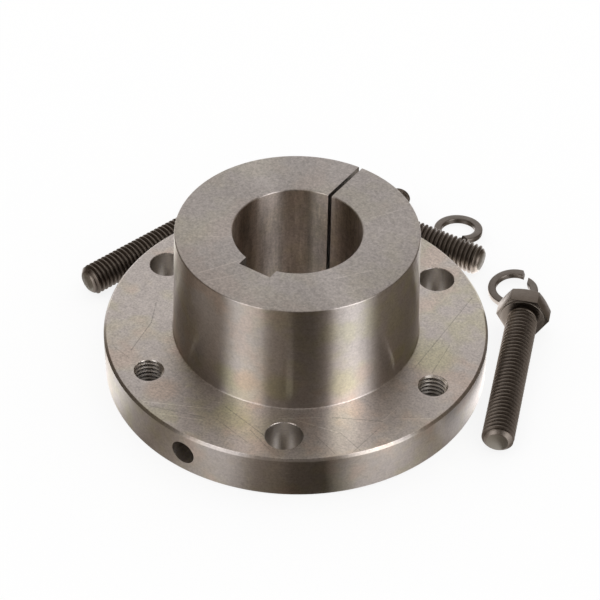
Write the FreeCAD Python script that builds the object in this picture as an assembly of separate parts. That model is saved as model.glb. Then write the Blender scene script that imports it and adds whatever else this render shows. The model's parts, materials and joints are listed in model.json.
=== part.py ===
"""Quick disconnect bushing, size E, with its own screws and lock washers lying beside it.

Millimetres. The origin is on the bore's axis at the flange's back face, +Z runs up the
tapered barrel, and the keyway is on the -Y side.
"""
import FreeCAD, Part
import math
import os

V = FreeCAD.Vector

# Barrel: a plug with a taper of 3/4 in per foot on the diameter, largest at the flange
BARREL_LARGE_D = 97.384
BARREL_LENGTH = 47.625
TAPER_ON_DIAMETER = 0.0625
BARREL_END_BREAK = 0.5
FILLET_R = 0.6

# Flange: its two rings of holes share one circle
FLANGE_THICKNESS = 19.05
HOLE_OFFSET = 14.808
RIM_EDGE = 12.7
FLANGE_TOP_CHAMFER = 1.0
FLANGE_BACK_CHAMFER = 0.8
HOLES_PER_RING = 3
FIRST_DRILLED_ANGLE = -60.0

# Bore, keyway and saw cut
BORE_D = 50.0
BORE_CHAMFER = 0.5
KEY_WIDTH = 14.0
KEYWAY_DEPTH = 3.8
SLIT_WIDTH = 1.5875
SLIT_OFFSET = 1.6

# Cap screw, 1/2 in coarse thread, and the hole sizes that follow from it
SCREW_D = 12.7
SCREW_PITCH = 25.4 / 13
SCREW_LENGTH = 69.85
SCREW_POINT_CHAMFER = 1.95
SCREW_NECK_R = 0.6
HEAD_FLATS = 18.8
HEAD_HEIGHT = 7.3
HEAD_CHAMFER_SHARE = 0.95
HEAD_CHAMFER_ANGLE = 30.0
WASHER_FACE_HEIGHT = 0.4
SCREW_HOLE_CLEARANCE = 1.5875

# Split lock washer
WASHER_CLEARANCE = 1.4
WASHER_SECTION_WIDTH = 3.4
WASHER_SECTION_HEIGHT = 2.5
WASHER_EDGE = 0.35
WASHER_RISE = 3.0
WASHER_GAP = 1.4
WASHER_CUT_SKEW = 30.0
WASHER_CUT_SLOPE = 16.0

# Set screw over the key, 3/8 in coarse thread, and its radial hole from the rim
SET_SCREW_D = 9.525
SET_SCREW_PITCH = 25.4 / 16
SET_SCREW_LENGTH = 12.7
SET_SCREW_CHAMFER = 0.9
SOCKET_FLATS = 4.7625
SOCKET_DEPTH = 5.5
CUP_D = 5.0
CUP_DEPTH = 1.0
SET_HOLE_CLEARANCE = 0.475
SET_THREAD_LENGTH = 18.0

# Layout on the floor. Each screw lies square to a ray from the bushing's axis:
# (ray angle, gap to the rim, length from the ray to under the head, turn of its direction)
SCREW_LAYOUT = [
    (21.8, 4.05, 34.5, 1),
    (95.2, 2.6, 27.8, 1),
    (163.4, 1.95, 27.8, -1),
]
# First washer: beside the second screw, (along it from the ray, gap to its shank)
WASHER_BESIDE = (-22.6, 1.55)
# Second washer: beyond the first screw's head and the second screw's point
WASHER_PAST_HEAD = 7.2
WASHER_PAST_POINT = 7.05
# Third washer: beyond the heads of the second and third screws
WASHER_PAST_HEADS = (14.95, 19.75)
WASHER_GAP_ANGLES = (-51.5, 81.0, 200.0)
# Set screw: beside the second screw, (along it from the ray, gap to its shank, turn)
SET_SCREW_BESIDE = (6.75, 5.6, 6.3)

# Worked out from the sizes above
CUT_MARGIN = 2.0
BORE_R = BORE_D / 2
BARREL_LARGE_R = BARREL_LARGE_D / 2
HOLE_CIRCLE_R = BARREL_LARGE_R + HOLE_OFFSET
FLANGE_R = HOLE_CIRCLE_R + RIM_EDGE
TOTAL_LENGTH = FLANGE_THICKNESS + BARREL_LENGTH
HOLE_PITCH_ANGLE = 360.0 / HOLES_PER_RING
DRILLED_D = SCREW_D + SCREW_HOLE_CLEARANCE
TAPPED_D = SCREW_D - SCREW_PITCH
SET_TAPPED_D = SET_SCREW_D - SET_SCREW_PITCH
SET_CLEAR_D = SET_SCREW_D + SET_HOLE_CLEARANCE
KEYWAY_FLOOR_R = BORE_R + KEYWAY_DEPTH
WASHER_INNER_R = (SCREW_D + WASHER_CLEARANCE) / 2
WASHER_OUTER_R = WASHER_INNER_R + WASHER_SECTION_WIDTH


def on_circle(radius, angle, z=0.0):
    """Point at a radius and an angle in degrees around the Z axis."""
    a = math.radians(angle)
    return V(radius * math.cos(a), radius * math.sin(a), z)


def revolved(edges):
    """Solid of revolution about Z from edges that close a profile in the XZ plane."""
    face = Part.Face(Part.Wire(Part.__sortEdges__(edges)))
    return face.revolve(V(0, 0, 0), V(0, 0, 1), 360)


def polyline(points):
    """Straight edges through (r, z) points in the XZ plane."""
    vectors = [V(r, 0, z) for r, z in points]
    return [Part.makeLine(a, b) for a, b in zip(vectors, vectors[1:])]


def regular_prism(flats, height, flat_angle=0.0):
    """Hexagonal prism on the XY plane with one flat facing flat_angle."""
    corner_r = flats / 2 / math.cos(math.radians(30))
    corners = [on_circle(corner_r, flat_angle + 30 + 60 * k) for k in range(7)]
    return Part.Face(Part.makePolygon(corners)).extrude(V(0, 0, height))


def barrel_radius(z):
    """Radius of the tapered barrel at a height above the flange's back face."""
    return BARREL_LARGE_R - (z - FLANGE_THICKNESS) * TAPER_ON_DIAMETER / 2


def bushing_blank():
    """Flange, root fillet and tapered barrel turned in one piece around the bore."""
    fillet_top = FLANGE_THICKNESS + FILLET_R
    root_r = barrel_radius(fillet_top)
    end_r = barrel_radius(TOTAL_LENGTH)
    fillet_centre = (root_r + FILLET_R, fillet_top)
    bend = FILLET_R * math.sqrt(0.5)
    outer = [
        (BORE_R + BORE_CHAMFER, 0),
        (FLANGE_R - FLANGE_BACK_CHAMFER, 0),
        (FLANGE_R, FLANGE_BACK_CHAMFER),
        (FLANGE_R, FLANGE_THICKNESS - FLANGE_TOP_CHAMFER),
        (FLANGE_R - FLANGE_TOP_CHAMFER, FLANGE_THICKNESS),
        (root_r + FILLET_R, FLANGE_THICKNESS),
    ]
    fillet = Part.Arc(
        V(root_r + FILLET_R, 0, FLANGE_THICKNESS),
        V(fillet_centre[0] - bend, 0, fillet_centre[1] - bend),
        V(root_r, 0, fillet_top),
    ).toShape()
    inner = [
        (root_r, fillet_top),
        (end_r, TOTAL_LENGTH - BARREL_END_BREAK),
        (end_r - BARREL_END_BREAK, TOTAL_LENGTH),
        (BORE_R + BORE_CHAMFER, TOTAL_LENGTH),
        (BORE_R, TOTAL_LENGTH - BORE_CHAMFER),
        (BORE_R, BORE_CHAMFER),
        (BORE_R + BORE_CHAMFER, 0),
    ]
    return revolved(polyline(outer) + [fillet] + polyline(inner))


def keyway_cutter():
    """Key slot on the -Y side, open into the bore over the whole length."""
    height = TOTAL_LENGTH + 2 * CUT_MARGIN
    corner = V(-KEY_WIDTH / 2, -KEYWAY_FLOOR_R, -CUT_MARGIN)
    return Part.makeBox(KEY_WIDTH, KEYWAY_FLOOR_R, height, corner)


def slit_cutter():
    """Saw cut on the +Y side, through barrel and flange, a little beside the axis."""
    height = TOTAL_LENGTH + 2 * CUT_MARGIN
    corner = V(-SLIT_OFFSET - SLIT_WIDTH / 2, 0, -CUT_MARGIN)
    return Part.makeBox(SLIT_WIDTH, FLANGE_R + CUT_MARGIN, height, corner)


def flange_hole_cutters(diameter, first_angle):
    """One ring of holes along Z through the flange."""
    height = FLANGE_THICKNESS + 2 * CUT_MARGIN
    return [
        Part.makeCylinder(
            diameter / 2,
            height,
            on_circle(HOLE_CIRCLE_R, first_angle + k * HOLE_PITCH_ANGLE, -CUT_MARGIN),
        )
        for k in range(HOLES_PER_RING)
    ]


def set_screw_hole_cutters():
    """Radial hole at half the flange's height: clear at the rim, tapped over the keyway."""
    z = FLANGE_THICKNESS / 2
    outward = V(0, -1, 0)
    tapped = Part.makeCylinder(
        SET_TAPPED_D / 2, KEYWAY_DEPTH + SET_THREAD_LENGTH + CUT_MARGIN, V(0, -BORE_R, z), outward
    )
    clear_from = KEYWAY_FLOOR_R + SET_THREAD_LENGTH
    cone = Part.makeCone(
        SET_TAPPED_D / 2,
        SET_CLEAR_D / 2,
        (SET_CLEAR_D - SET_TAPPED_D) / 2,
        V(0, -clear_from + (SET_CLEAR_D - SET_TAPPED_D) / 2, z),
        outward,
    )
    clear = Part.makeCylinder(
        SET_CLEAR_D / 2, FLANGE_R + CUT_MARGIN - clear_from, V(0, -clear_from, z), outward
    )
    return [tapped, cone, clear]


def bushing():
    """The split, tapered and flanged bushing."""
    drilled = flange_hole_cutters(DRILLED_D, FIRST_DRILLED_ANGLE)
    tapped = flange_hole_cutters(TAPPED_D, FIRST_DRILLED_ANGLE - HOLE_PITCH_ANGLE / 2)
    cutters = drilled + tapped + set_screw_hole_cutters() + [keyway_cutter(), slit_cutter()]
    return bushing_blank().cut(cutters).removeSplitter()


def cap_screw():
    """Hexagon cap screw threaded to its head, point at the origin and head at +Z."""
    screw_r = SCREW_D / 2
    neck_r = screw_r + SCREW_NECK_R
    face_r = HEAD_FLATS / 2 * HEAD_CHAMFER_SHARE
    under_hex = SCREW_LENGTH + WASHER_FACE_HEIGHT
    shank = polyline(
        [
            (0, under_hex),
            (0, 0),
            (screw_r - SCREW_POINT_CHAMFER, 0),
            (screw_r, SCREW_POINT_CHAMFER),
            (screw_r, SCREW_LENGTH - SCREW_NECK_R),
            (neck_r, SCREW_LENGTH),
            (face_r, SCREW_LENGTH),
            (face_r, under_hex),
            (0, under_hex),
        ]
    )
    hexagon = regular_prism(HEAD_FLATS, HEAD_HEIGHT)
    hexagon.translate(V(0, 0, under_hex))
    corner_r = HEAD_FLATS / 2 / math.cos(math.radians(30)) + CUT_MARGIN
    top = under_hex + HEAD_HEIGHT
    drop = (corner_r - face_r) * math.tan(math.radians(HEAD_CHAMFER_ANGLE))
    bevel = polyline(
        [
            (0, under_hex),
            (corner_r, under_hex),
            (corner_r, top - drop),
            (face_r, top),
            (0, top),
            (0, under_hex),
        ]
    )
    head = hexagon.common(revolved(bevel))
    return revolved(shank).fuse(head).removeSplitter()


def coil(first, last):
    """Stretch of the lock washer's left-hand coil, between two angles from its high end."""
    mean_r = (WASHER_INNER_R + WASHER_OUTER_R) / 2
    span = last - first
    path = Part.makeHelix(WASHER_RISE, WASHER_RISE * span / 360, mean_r, 0, True)
    half_w = WASHER_SECTION_WIDTH / 2
    height = WASHER_SECTION_HEIGHT
    e = WASHER_EDGE
    section = [
        (mean_r - half_w, e),
        (mean_r - half_w + e, 0),
        (mean_r + half_w - e, 0),
        (mean_r + half_w, e),
        (mean_r + half_w, height - e),
        (mean_r + half_w - e, height),
        (mean_r - half_w + e, height),
        (mean_r - half_w, height - e),
        (mean_r - half_w, e),
    ]
    profile = Part.Wire(polyline(section))
    solid = Part.Wire(path).makePipeShell([profile], True, True)
    solid.rotate(V(0, 0, 0), V(0, 0, 1), last)
    solid.translate(V(0, 0, WASHER_RISE * (360 - last) / 360))
    return solid


def washer_end_trim(side):
    """Block on one side of the skewed cut through the washer at angle zero."""
    size = 2 * WASHER_OUTER_R
    mean_r = (WASHER_INNER_R + WASHER_OUTER_R) / 2
    block = Part.makeBox(size, size, size, V(-size / 2, 0, -size / 2))
    if side < 0:
        block.rotate(V(0, 0, 0), V(0, 0, 1), 180)
    block.translate(V(0, -side * WASHER_GAP / 2, 0))
    block.rotate(V(0, 0, 0), V(1, 0, 0), -WASHER_CUT_SLOPE)
    block.rotate(V(0, 0, 0), V(0, 0, 1), WASHER_CUT_SKEW)
    block.translate(V(mean_r, 0, (WASHER_RISE + WASHER_SECTION_HEIGHT) / 2))
    return block


def lock_washer():
    """Split lock washer lying at rest on the floor, its cut centred on the +X side."""
    overlap = 25.0
    high_end = coil(-overlap, 180).cut(washer_end_trim(-1))
    low_end = coil(180, 360 + overlap).cut(washer_end_trim(1))
    washer = high_end.fuse(low_end).removeSplitter()
    # It tips until the low end and the far side both touch the floor
    tip_y = math.degrees(math.atan2(WASHER_RISE / 4, WASHER_OUTER_R))
    tip_x = math.degrees(math.atan2(WASHER_RISE / (2 * math.pi), WASHER_OUTER_R))
    washer.rotate(V(0, 0, 0), V(0, 1, 0), -tip_y)
    washer.rotate(V(0, 0, 0), V(1, 0, 0), -tip_x)
    washer.translate(V(0, 0, -washer.optimalBoundingBox(False).ZMin))
    return washer


def set_screw():
    """Socket set screw, its cup point at the origin and its socket at +Z."""
    r = SET_SCREW_D / 2
    body = revolved(
        polyline(
            [
                (0, CUP_DEPTH),
                (CUP_D / 2, 0),
                (r - SET_SCREW_CHAMFER, 0),
                (r, SET_SCREW_CHAMFER),
                (r, SET_SCREW_LENGTH - SET_SCREW_CHAMFER),
                (r - SET_SCREW_CHAMFER, SET_SCREW_LENGTH),
                (0, SET_SCREW_LENGTH),
                (0, CUP_DEPTH),
            ]
        )
    )
    socket = regular_prism(SOCKET_FLATS, SOCKET_DEPTH + CUT_MARGIN)
    socket.translate(V(0, 0, SET_SCREW_LENGTH - SOCKET_DEPTH))
    return body.cut(socket)


def lie_along(shape, point, along):
    """Turn a shape's +Z to the given direction, with its +X as high as it can be."""
    side = V(0, 0, 1).cross(along).normalize()
    up = along.cross(side)
    placed = shape.copy()
    placed.Placement = FreeCAD.Placement(point, FreeCAD.Rotation(up, side, along, "ZXY"))
    return placed


class Ray:
    """Where one cap screw lies: its ray, the foot of its axis and its level direction."""

    def __init__(self, angle, gap, head_reach, turn):
        self.normal = on_circle(1.0, angle)
        self.along = on_circle(turn, angle + 90)
        self.foot = self.normal * (FLANGE_R + gap + SCREW_D / 2)
        self.head_reach = head_reach
        self.point_reach = head_reach - SCREW_LENGTH
        self.end_reach = head_reach + WASHER_FACE_HEIGHT + HEAD_HEIGHT


def lying_screw(ray):
    """Cap screw on the floor, resting on a flat of its head and on its point."""
    drop = HEAD_FLATS / 2 - SCREW_D / 2
    run = SCREW_LENGTH + WASHER_FACE_HEIGHT - SCREW_POINT_CHAMFER
    slope = math.atan2(drop, run)
    direction = ray.along * math.cos(slope) + V(0, 0, math.sin(slope))
    height = SCREW_D / 2 * math.cos(slope) - SCREW_POINT_CHAMFER * math.sin(slope)
    point = ray.foot + ray.along * ray.point_reach + V(0, 0, height)
    return lie_along(cap_screw(), point, direction)


def meeting_point(base_a, dir_a, reach_a, base_b, dir_b, reach_b):
    """Point on the floor at one reach along a line and another reach along a second line."""
    target_a = base_a.dot(dir_a) + reach_a
    target_b = base_b.dot(dir_b) + reach_b
    det = dir_a.x * dir_b.y - dir_a.y * dir_b.x
    x = (target_a * dir_b.y - target_b * dir_a.y) / det
    y = (dir_a.x * target_b - dir_b.x * target_a) / det
    return V(x, y, 0)


def washer_places(rays):
    """Centres of the three lock washers on the floor."""
    first, second, third = rays
    along, gap = WASHER_BESIDE
    beside = second.foot + second.along * along
    beside += second.normal * (SCREW_D / 2 + gap + WASHER_OUTER_R)
    past_point = meeting_point(
        first.foot,
        first.along,
        first.end_reach + WASHER_PAST_HEAD + WASHER_OUTER_R,
        second.foot,
        second.along * -1,
        WASHER_PAST_POINT + WASHER_OUTER_R - second.point_reach,
    )
    past_heads = meeting_point(
        second.foot,
        second.along,
        second.end_reach + WASHER_PAST_HEADS[0] + WASHER_OUTER_R,
        third.foot,
        third.along,
        third.end_reach + WASHER_PAST_HEADS[1] + WASHER_OUTER_R,
    )
    return [beside, past_point, past_heads]


def lying_set_screw(ray):
    """Set screw on its side on the floor behind the second cap screw."""
    along, gap, turn = SET_SCREW_BESIDE
    point = ray.foot + ray.along * along + ray.normal * (SCREW_D / 2 + gap)
    direction = FreeCAD.Rotation(V(0, 0, 1), turn).multVec(ray.normal)
    return lie_along(set_screw(), point + V(0, 0, SET_SCREW_D / 2), direction)


def build():
    """All the pieces by node name, each where it stands or lies."""
    rays = [Ray(*row) for row in SCREW_LAYOUT]
    pieces = {"bushing": bushing()}
    for k, ray in enumerate(rays, 1):
        pieces["cap_screw_%d" % k] = lying_screw(ray)
    washer = lock_washer()
    for k, (centre, angle) in enumerate(zip(washer_places(rays), WASHER_GAP_ANGLES), 1):
        placed = washer.copy()
        placed.rotate(V(0, 0, 0), V(0, 0, 1), angle)
        placed.translate(centre)
        pieces["lock_washer_%d" % k] = placed
    pieces["set_screw"] = lying_set_screw(rays[1])
    return pieces


os.makedirs("parts", exist_ok=True)
for name, shape in build().items():
    solid = shape.Solids[0]
    solid.exportStep("parts/%s.step" % name)
    print(name, len(shape.Solids), solid.isValid(), round(solid.Volume, 1))
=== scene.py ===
"""Quick disconnect bushing with its cap screws, lock washers and set screw, dressed for a render.

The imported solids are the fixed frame. Each piece is modelled again round its solid with real
threads, rounded edges and a procedural steel finish. Metres, +Z up the barrel.
"""
import json
import math
from contextlib import contextmanager

import bmesh
import bpy
from bpy.props import FloatProperty, FloatVectorProperty, PointerProperty
from mathutils import Matrix, Vector


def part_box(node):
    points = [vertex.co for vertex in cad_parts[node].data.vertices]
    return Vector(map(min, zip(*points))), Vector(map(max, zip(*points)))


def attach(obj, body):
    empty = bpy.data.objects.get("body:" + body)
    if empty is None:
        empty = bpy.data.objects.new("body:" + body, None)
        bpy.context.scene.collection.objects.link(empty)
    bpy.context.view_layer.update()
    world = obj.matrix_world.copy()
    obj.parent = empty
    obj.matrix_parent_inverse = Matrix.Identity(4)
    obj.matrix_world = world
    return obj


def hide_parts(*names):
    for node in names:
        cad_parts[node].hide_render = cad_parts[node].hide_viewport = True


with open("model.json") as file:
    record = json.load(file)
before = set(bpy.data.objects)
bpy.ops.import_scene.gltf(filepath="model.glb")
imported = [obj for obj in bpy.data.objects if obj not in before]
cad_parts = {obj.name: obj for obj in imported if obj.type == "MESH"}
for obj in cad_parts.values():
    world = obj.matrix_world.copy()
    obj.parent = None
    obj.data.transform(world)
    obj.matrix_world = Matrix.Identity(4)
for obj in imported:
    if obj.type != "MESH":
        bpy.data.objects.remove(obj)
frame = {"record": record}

bl_info = {
    "name": "Quick Disconnect Bushing",
    "version": (1, 0, 0),
    "blender": (4, 5, 0),
    "location": "View3D > Sidebar > Bushing",
    "description": "Models a split taper bushing with its screws and washers, and its stage",
    "category": "Add Mesh",
}

MM = 0.001
ROOT = "root"
MOUNTS = {m["name"]: m for m in frame["record"]["mounts"]}
BUSHING_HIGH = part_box("bushing")[1]
SCREW_NODES = ("cap_screw_1", "cap_screw_2", "cap_screw_3")
WASHER_NODES = ("lock_washer_1", "lock_washer_2", "lock_washer_3")
# Angles round the axis, in degrees: of the holes, of the way that each loose piece lies or
# points, and of each cap screw's turn about itself
DRILLED_ANGLES = (-60, 60, 180)
TAPPED_ANGLES = (-120, 0, 120)
SCREW_BEARINGS = (111.8, 185.2, 73.4)
SCREW_ROLLS = (0, 120, 240)
WASHER_GAP_ANGLES = (-51.5, 81.0, 200.0)
SET_SCREW_BEARING = 101.5
# How far a cutter runs past what it cuts
CUT = 2 * MM
# How far a piece's size may be from its solid's
SIZE_TOLERANCE = 0.6 * MM
# Steps round a turned part, round a hole or a screw, and round one turn of a thread
SEGMENTS = 360
HOLE_SEGMENTS = 96
THREAD_STEPS = 60
# Points nearer than this are one: in a cutter, and in a piece that is joined from several
SAME_POINT = 1e-7
SAME_POINT_JOINED = 1e-6
# Depth of a thread as a share of its pitch, and the washer face as a share of the head
THREAD_DEPTH = 0.58
FACE_SHARE = 0.95
# Rounding of the edges of a screw's head
HEAD_EDGE = 0.18 * MM
# Turn and lean in degrees of the gap that a lock washer is cut along
GAP_TURN = 30
GAP_LEAN = -16


def mount_size(name, key):
    """A size of one of the frame's mounts, in metres."""
    return MOUNTS[name]["dims"][key] * MM


def length(name, description, default):
    """A length that a user may change."""
    return FloatProperty(
        name=name, description=description, default=default, unit="LENGTH", precision=4
    )


def number(name, description, default):
    """A plain number that a user may change."""
    return FloatProperty(name=name, description=description, default=default)


def tint(name, description, default):
    """A colour that a user may change."""
    return FloatVectorProperty(
        name=name, description=description, default=default, subtype="COLOR", size=3, min=0, max=1
    )


class BushingSizes(bpy.types.PropertyGroup):
    """Sizes of the turned, split and drilled bushing."""

    flange_r: length("Flange radius", "From the axis to the rim", BUSHING_HIGH.x)
    flange_height: length("Flange thickness", "Height of the flange", 19.05 * MM)
    total_height: length("Total length", "Flange and barrel together", BUSHING_HIGH.z)
    barrel_r: length("Barrel radius", "Radius of the tapered barrel at the flange", 48.692 * MM)
    taper: number("Taper", "Radius lost per unit of length", 1 / 32)
    fillet_r: length("Root fillet", "Fillet between the barrel and the flange", 0.6 * MM)
    top_chamfer: length("Rim chamfer", "Chamfer of the flange on the barrel side", 1.0 * MM)
    soft_r: length(
        "Softened edge", "Rounding where the rim's chamfer meets the flange's face", 0.35 * MM
    )
    back_chamfer: length("Back chamfer", "Chamfer of the flange on its back", 0.8 * MM)
    edge_break: length("Edge break", "Rounding of the barrel's end", 0.5 * MM)
    bore_r: length("Bore radius", "Radius of the bore", mount_size("bore", "r_mm"))
    bore_chamfer: length("Bore chamfer", "Chamfer at both ends of the bore", 0.5 * MM)
    key_width: length("Keyway width", "Width of the keyway", 14 * MM)
    key_floor_r: length("Keyway floor", "From the axis to the keyway's floor", 28.8 * MM)
    slit_width: length("Saw cut", "Width of the saw cut", 1.5875 * MM)
    slit_offset: length("Saw cut offset", "How far the saw cut is beside the axis", 1.6 * MM)
    hole_circle_r: length(
        "Hole circle", "Radius of the circle of holes", mount_size("drilled_holes", "pcd_mm") / 2
    )
    drilled_r: length(
        "Drilled hole", "Radius of the plain holes", mount_size("drilled_holes", "hole_r_mm")
    )
    deburr: length("Deburring", "Small chamfer at the mouth of each hole", 0.25 * MM)
    set_clear_r: length("Set screw clearance", "Radius of the hole in the rim", 5 * MM)
    set_thread_end: length("Set screw thread", "How far from the axis its thread ends", 46.8 * MM)


class FastenerSizes(bpy.types.PropertyGroup):
    """Sizes of the cap screws, the lock washers and the set screw."""

    screw_r: length("Screw radius", "Outer radius of the half inch thread", 6.35 * MM)
    screw_pitch: length("Screw pitch", "Thirteen threads to the inch", 25.4 / 13 * MM)
    screw_length: length("Screw length", "From the point to under the head", 69.85 * MM)
    point_chamfer: length("Point chamfer", "Chamfer at the screw's point", 1.95 * MM)
    point_softness: length("Point softness", "Rounding of the point's edge", 0.22 * MM)
    neck_r: length("Neck fillet", "Fillet under the head", 0.6 * MM)
    head_flats: length("Head size", "Across the flats of the head", 18.8 * MM)
    head_height: length("Head height", "Height of the hexagon", 7.3 * MM)
    face_height: length("Washer face", "Height of the round face under the head", 0.4 * MM)
    washer_inner_r: length("Washer inner radius", "Inner radius of the lock washer", 7.05 * MM)
    washer_outer_r: length("Washer outer radius", "Outer radius of the lock washer", 10.45 * MM)
    washer_height: length("Washer height", "Height of the washer's section", 2.5 * MM)
    washer_rise: length("Washer rise", "How far one end stands above the other", 3.0 * MM)
    washer_gap: length("Washer gap", "Gap at the washer's cut", 1.4 * MM)
    washer_edge: length("Washer edge", "Rounding of the washer's edges", 0.5 * MM)
    set_r: length("Set screw radius", "Outer radius of the three eighths inch thread", 4.7625 * MM)
    set_pitch: length("Set screw pitch", "Sixteen threads to the inch", 25.4 / 16 * MM)
    set_length: length("Set screw length", "From its cup to its socket end", 12.7 * MM)
    set_chamfer: length("Set screw chamfer", "Chamfer at both ends", 0.9 * MM)
    socket_flats: length("Socket size", "Across the flats of the socket", 4.7625 * MM)
    socket_depth: length("Socket depth", "Depth of the socket", 5.5 * MM)
    cup_r: length("Cup radius", "Radius of the cup point", 2.5 * MM)
    cup_depth: length("Cup depth", "Depth of the cup point", 1 * MM)


class SteelColours(bpy.types.PropertyGroup):
    """Colours of the three finishes."""

    ground: tint("Ground steel", "Turned and ground steel of the bushing", (0.60, 0.565, 0.545))
    olive: tint("Olive film", "Where the oil film looks olive", (0.58, 0.565, 0.42))
    rose: tint("Rose film", "Where the oil film looks pink", (0.645, 0.54, 0.465))
    oxide: tint("Black oxide", "Black oxide of the screws", (0.185, 0.158, 0.135))
    point: tint("Screw point", "Flat of a screw's point", (0.33, 0.325, 0.295))
    worn: tint("Worn oxide", "Oxide rubbed thin on edges and crests", (0.30, 0.275, 0.25))
    phosphate: tint("Phosphate", "Dark finish of the lock washers", (0.25, 0.226, 0.204))


class StageSettings(bpy.types.PropertyGroup):
    """The camera."""

    azimuth: number("Azimuth", "Camera's angle round the axis", 33.495)
    elevation: number("Elevation", "Camera's angle above the floor", 42.687)
    distance: length("Distance", "From the camera to the axis at the floor", 870.9 * MM)
    yaw: number("Yaw", "Turn of the aim to the right", 0.095)
    pitch: number("Pitch", "Turn of the aim upwards", 1.5548)
    roll: number("Roll", "Roll of the camera", 0.9133)
    lens: number("Lens", "Focal length in mm on a 36 mm sensor", 129.673)


TENT_RADIUS = 2.0
TENT_STRENGTH = 2.7
TOP_LIGHT = 0.4
# Light is warm up to a dim level and neutral from there on by this much
DIM_LEVEL = 0.08
DIM_TO_NEUTRAL = 0.6
WARM_LIGHT = (1.0, 0.80, 0.62)
NEUTRAL_LIGHT = (1.0, 0.965, 0.95)
# Light from each side, by the angle from the camera's side, to the right as the camera sees it:
# low down, higher up, and near the top
LOW_LIGHT = (
    (-180, 1.9), (-163, 1.9), (-150, 1.8), (-141, 1.6), (-132, 0.55), (-122, 0.18), (-105, 0.13),
    (-90, 0.22), (-75, 0.28), (-64, 0.27), (-60, 0.42), (-54, 0.62), (-46, 0.7), (-38, 0.6),
    (-28, 0.43), (-25, 0.27), (-16, 0.21), (-6, 0.17), (-2, 0.08), (14, 0.066), (24, 0.12),
    (29, 0.2), (33, 0.48), (42, 0.74), (50, 0.96), (58, 0.78), (66, 0.44), (71, 0.23), (110, 0.18),
    (132, 0.24), (143, 1.4), (180, 1.9),
)
HIGH_LIGHT = (
    (-180, 0.71), (-150, 0.52), (-138, 0.24), (-126, 0.08), (-100, 0.08), (-80, 0.1), (-64, 0.13),
    (-60, 0.82), (-54, 1.4), (-46, 1.7), (-38, 1.45), (-28, 1.02), (-25, 0.31), (-16, 0.22),
    (-6, 0.16), (-2, 0.065), (14, 0.05), (24, 0.12), (29, 0.2), (33, 1.32), (42, 2.05), (50, 2.65),
    (58, 2.15), (66, 1.1), (71, 0.22), (90, 0.14), (125, 0.08), (138, 0.26), (155, 0.58),
    (180, 0.71),
)
UPPER_LIGHT = (
    (-180, 0.4), (-96, 0.4), (-86, 0.5), (-52, 0.5), (-44, 0.36), (40, 0.36), (48, 1.05),
    (82, 1.05), (92, 0.4), (180, 0.4),
)
# Light that the rim catches from the floor beside it, by the same angle
FLOOR_LIGHT = (
    (-180, 0.4), (-95, 0.6), (-88, 1.8), (-75, 1.6), (-62, 0.52), (-50, 0.26), (-38, 0.36),
    (-22, 0.54), (-12, 0.2), (0, 0.07), (10, 0.05), (20, 0.55), (38, 0.46), (50, 0.4), (62, 0.8),
    (75, 2.15), (88, 2.6), (105, 2.6), (130, 2.4), (140, 0.4), (180, 0.4),
)


def deselect():
    """Nothing is selected, in object mode."""
    if bpy.context.object and bpy.context.object.mode != "OBJECT":
        bpy.ops.object.mode_set(mode="OBJECT")
    bpy.ops.object.select_all(action="DESELECT")


def choose(obj):
    """Makes one object the only selected one, and the active one."""
    deselect()
    obj.select_set(True)
    bpy.context.view_layer.objects.active = obj


@contextmanager
def editing(obj, kind, action="DESELECT"):
    """Edit mode on one object, with one kind of element selectable and none or all selected."""
    choose(obj)
    bpy.ops.object.mode_set(mode="EDIT")
    bpy.ops.mesh.select_mode(type=kind)
    bpy.ops.mesh.select_all(action=action)
    yield
    bpy.ops.object.mode_set(mode="OBJECT")


def pick(obj, kind, test):
    """Selects the vertices, edges or faces of the mesh in edit mode that pass a test."""
    mesh = bmesh.from_edit_mesh(obj.data)
    for element in getattr(mesh, kind):
        if test(element):
            element.select_set(True)
    mesh.select_flush_mode()
    bmesh.update_edit_mesh(obj.data)


def named(name):
    """Names the newest object and its mesh."""
    obj = bpy.context.object
    obj.name = name
    obj.data.name = name
    return obj


def tidy_normals(obj, doubles=SAME_POINT):
    """Merges doubled vertices and turns every face outwards."""
    with editing(obj, "VERT", "SELECT"):
        bpy.ops.mesh.remove_doubles(threshold=doubles)
        bpy.ops.mesh.normals_make_consistent(inside=False)


def place(obj, matrix):
    """Moves an object by a matrix and writes its place into its mesh."""
    choose(obj)
    obj.matrix_world = matrix @ obj.matrix_world
    bpy.ops.object.transform_apply(location=True, rotation=True, scale=True)


def joined(objects, name):
    """Several objects as one."""
    choose(objects[0])
    for obj in objects[1:]:
        obj.select_set(True)
    bpy.ops.object.join()
    return named(name)


def modify(obj, kind, **settings):
    """Applies one modifier to an object."""
    choose(obj)
    modifier = obj.modifiers.new(kind.lower(), kind)
    for key, value in settings.items():
        setattr(modifier, key, value)
    bpy.ops.object.modifier_apply(modifier=modifier.name)


def sweep(obj, steps, **settings):
    """Sweeps a profile along a helix round Z."""
    modify(obj, "SCREW", **settings, steps=steps, render_steps=steps)


def carve(target, tool, operation="DIFFERENCE"):
    """Cuts, joins or intersects a piece with a tool, which is used up."""
    modify(target, "BOOLEAN", operation=operation, solver="EXACT", object=tool)
    mesh = tool.data
    bpy.data.objects.remove(tool)
    bpy.data.meshes.remove(mesh)
    if len(target.data.polygons) == 0:
        raise RuntimeError("nothing is left of %s" % target.name)


def widen(share):
    """Makes what is selected wider round the axis."""
    bpy.ops.transform.resize(value=(share, share, 1), center_override=(0, 0, 0))


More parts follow.
